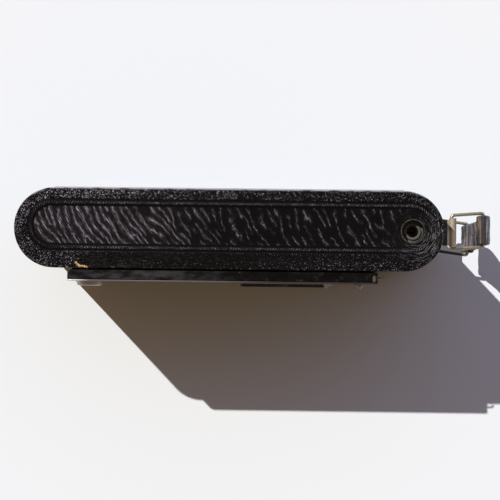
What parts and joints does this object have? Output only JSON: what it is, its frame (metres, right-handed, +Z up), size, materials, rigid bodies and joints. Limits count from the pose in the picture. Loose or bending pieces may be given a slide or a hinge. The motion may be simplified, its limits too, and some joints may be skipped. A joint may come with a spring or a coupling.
{
  "type": "folding roll-film camera",
  "caption": "Closed folding roll-film camera on its side, leather-covered body with round ends, drop bed, bellows and lens standard, wire rings with strap handle.",
  "frame": {"origin": "centre of the lower side face, on which the camera stands", "axes": "+Z up across the body's width, +X along its length towards the handle, -Y out of the front, where the bed opens"},
  "size_m": [0.2306, 0.0491, 0.0952],
  "materials": {
    "black_leather": "embossed black leather, worn",
    "strap_leather": "smooth worn leather strap",
    "black_metal": "black enamel, worn at the edges",
    "nickel": "dull nickel plate, worn",
    "brass": "old brass",
    "steel": "dull steel",
    "bellows_leather": "thin pleated leather",
    "spool_wood": "turned wood",
    "lens_glass": "clear polished glass",
    "red_glass": "deep red window",
    "mirror_glass": "silvered glass"
  },
  "bodies": {
    "case": {"side_plate_upper": "black_metal", "side_plate_lower": "black_metal", "side_leather_upper": "black_leather", "side_leather_lower": "black_leather", "end_wall_left": "black_metal", "end_wall_right": "black_metal", "end_leather_left": "black_leather", "end_leather_right": "black_leather", "front_rails": "black_metal", "film_gate": "black_metal", "spool_pivots": "steel", "winding_bush": "nickel", "side_tripod_socket": "nickel", "bed_hinge_leaf": "brass", "bed_hinge_pin": "steel", "brace_guides": "black_metal", "bellows": "bellows_leather", "handle_brackets": "black_metal", "handle_rivets": "nickel"},
    "back": {"back_cover": "black_metal", "back_leather": "black_leather", "red_window_bezel": "black_metal", "red_window": "red_glass"},
    "latch_left": {"back_latch_left": "nickel"},
    "latch_right": {"back_latch_right": "nickel"},
    "roller_left": {"guide_roller_left": "nickel"},
    "roller_right": {"guide_roller_right": "nickel"},
    "supply": {"supply_spool": "spool_wood"},
    "takeup": {"takeup_spool": "spool_wood"},
    "bed": {"bed": "black_metal", "bed_leather": "black_leather", "bed_tripod_socket": "nickel", "bed_pivot_pins": "steel", "bed_latch_catch": "steel", "stand_leg_bracket": "nickel"},
    "braces": {"bed_braces": "nickel"},
    "struts": {"standard_struts": "nickel"},
    "latch_button": {"bed_latch_button": "nickel"},
    "leg": {"stand_leg": "black_metal"},
    "standard": {"lens_standard": "nickel", "shutter_case": "black_metal", "shutter_face": "black_metal", "rear_lens_cell": "brass", "rear_lens": "lens_glass", "shutter_blade_pins": "steel", "iris_plate": "steel"},
    "front_cell": {"front_lens_cell": "nickel", "front_lens": "lens_glass"},
    "blade_left": {"shutter_blade_left": "steel"},
    "blade_right": {"shutter_blade_right": "steel"},
    "dial": {"speed_dial": "nickel"},
    "aperture": {"aperture_lever": "nickel"},
    "release": {"shutter_release_lever": "nickel"},
    "finder": {"finder_case": "nickel", "finder_lens": "lens_glass", "finder_screen": "lens_glass", "finder_mirror": "mirror_glass"},
    "ring_upper": {"handle_ring_upper": "nickel"},
    "ring_lower": {"handle_ring_lower": "nickel"},
    "strap": {"handle_strap": "strap_leather"}
  },
  "joints": [
    {"name": "bed_hinge", "type": "hinge", "parent": "case", "child": "bed", "pos_m": [-0.0759, -0.0214, 0.0475], "axis": [0, 0, -1], "range_deg": [0, 90]},
    {"name": "standard_slide", "type": "slide", "parent": "case", "child": "standard", "axis": [0, -1, 0], "range_m": [0, 0.098], "deforming": ["bellows"]},
    {"name": "strut_pivot", "type": "hinge", "parent": "bed", "child": "struts", "pos_m": [0.04644, -0.0217, 0.0475], "axis": [0, 0, -1], "range_deg": [0, 43.86]},
    {"name": "brace_pivot", "type": "hinge", "parent": "bed", "child": "braces", "pos_m": [-0.0299, -0.0217, 0.0475], "axis": [0, 0, -1], "range_deg": [-132.02, 0]},
    {"name": "latch_press", "type": "slide", "parent": "bed", "child": "latch_button", "axis": [0, 1, 0], "range_m": [0, 0.0015], "stiffness_N_per_m": 300},
    {"name": "leg_hinge", "type": "hinge", "parent": "bed", "child": "leg", "pos_m": [0.0484, -0.0269, 0.0475], "axis": [0, 0, 1], "range_deg": [0, 90]},
    {"name": "back_lift_off", "type": "slide", "parent": "case", "child": "back", "axis": [0, 1, 0], "range_m": [0, 0.06]},
    {"name": "latch_slide_left", "type": "slide", "parent": "back", "child": "latch_left", "axis": [-1, 0, 0], "range_m": [0, 0.003]},
    {"name": "latch_slide_right", "type": "slide", "parent": "back", "child": "latch_right", "axis": [1, 0, 0], "range_m": [0, 0.003]},
    {"name": "supply_spin", "type": "hinge", "parent": "case", "child": "supply", "pos_m": [-0.088, 0, 0.0475], "axis": [0, 0, 1], "continuous": true},
    {"name": "takeup_spin", "type": "hinge", "parent": "case", "child": "takeup", "pos_m": [0.088, 0, 0.0475], "axis": [0, 0, 1], "continuous": true},
    {"name": "roller_left_spin", "type": "hinge", "parent": "case", "child": "roller_left", "pos_m": [-0.0686, 0.013, 0.0475], "axis": [0, 0, 1], "continuous": true},
    {"name": "roller_right_spin", "type": "hinge", "parent": "case", "child": "roller_right", "pos_m": [0.0686, 0.013, 0.0475], "axis": [0, 0, 1], "continuous": true},
    {"name": "focus_turn", "type": "hinge", "parent": "standard", "child": "front_cell", "pos_m": [0, -0.02, 0.0475], "axis": [0, -1, 0], "range_deg": [0, 150]},
    {"name": "release_press", "type": "hinge", "parent": "standard", "child": "release", "pos_m": [0.01, -0.0186, 0.0295], "axis": [0, -1, 0], "range_deg": [0, 12], "stiffness_Nm_per_rad": 0.002},
    {"name": "blade_left_swing", "type": "hinge", "parent": "standard", "child": "blade_left", "pos_m": [-0.015, -0.0126, 0.0385], "axis": [0, -1, 0], "range_deg": [0, 45]},
    {"name": "blade_right_swing", "type": "hinge", "parent": "standard", "child": "blade_right", "pos_m": [0.015, -0.0131, 0.0565], "axis": [0, -1, 0], "range_deg": [0, 45]},
    {"name": "dial_turn", "type": "hinge", "parent": "standard", "child": "dial", "pos_m": [0.0184, -0.0189, 0.0475], "axis": [0, -1, 0], "range_deg": [-135, 135]},
    {"name": "aperture_turn", "type": "hinge", "parent": "standard", "child": "aperture", "pos_m": [0, -0.0185, 0.0475], "axis": [0, -1, 0], "range_deg": [-25, 25]},
    {"name": "finder_turn", "type": "hinge", "parent": "standard", "child": "finder", "pos_m": [0.045, -0.008, 0.0655], "axis": [0, -1, 0], "range_deg": [0, 90]},
    {"name": "handle_swing", "type": "hinge", "parent": "case", "child": "ring_upper", "pos_m": [0.1088, 0, 0.078], "axis": [0, 1, 0], "range_deg": [-60, 60]},
    {"name": "handle_swing_lower", "type": "hinge", "parent": "case", "child": "ring_lower", "pos_m": [0.1088, 0, 0.017], "axis": [0, 1, 0], "range_deg": [-60, 60]},
    {"name": "strap_turn", "type": "hinge", "parent": "ring_upper", "child": "strap", "pos_m": [0.1245, 0, 0.078], "axis": [0, 1, 0], "range_deg": [-60, 60]}
  ],
  "couplings": [
    {"joint": "standard_slide", "follows": "bed_hinge", "m_per_rad": 0.062389},
    {"joint": "strut_pivot", "follows": "bed_hinge", "ratio": 0.48728},
    {"joint": "brace_pivot", "follows": "bed_hinge", "ratio": -1.4669},
    {"joint": "blade_left_swing", "follows": "release_press", "ratio": 3.75},
    {"joint": "blade_right_swing", "follows": "release_press", "ratio": 3.75},
    {"joint": "handle_swing_lower", "follows": "handle_swing", "ratio": 1},
    {"joint": "strap_turn", "follows": "handle_swing", "ratio": -1}
  ]
}
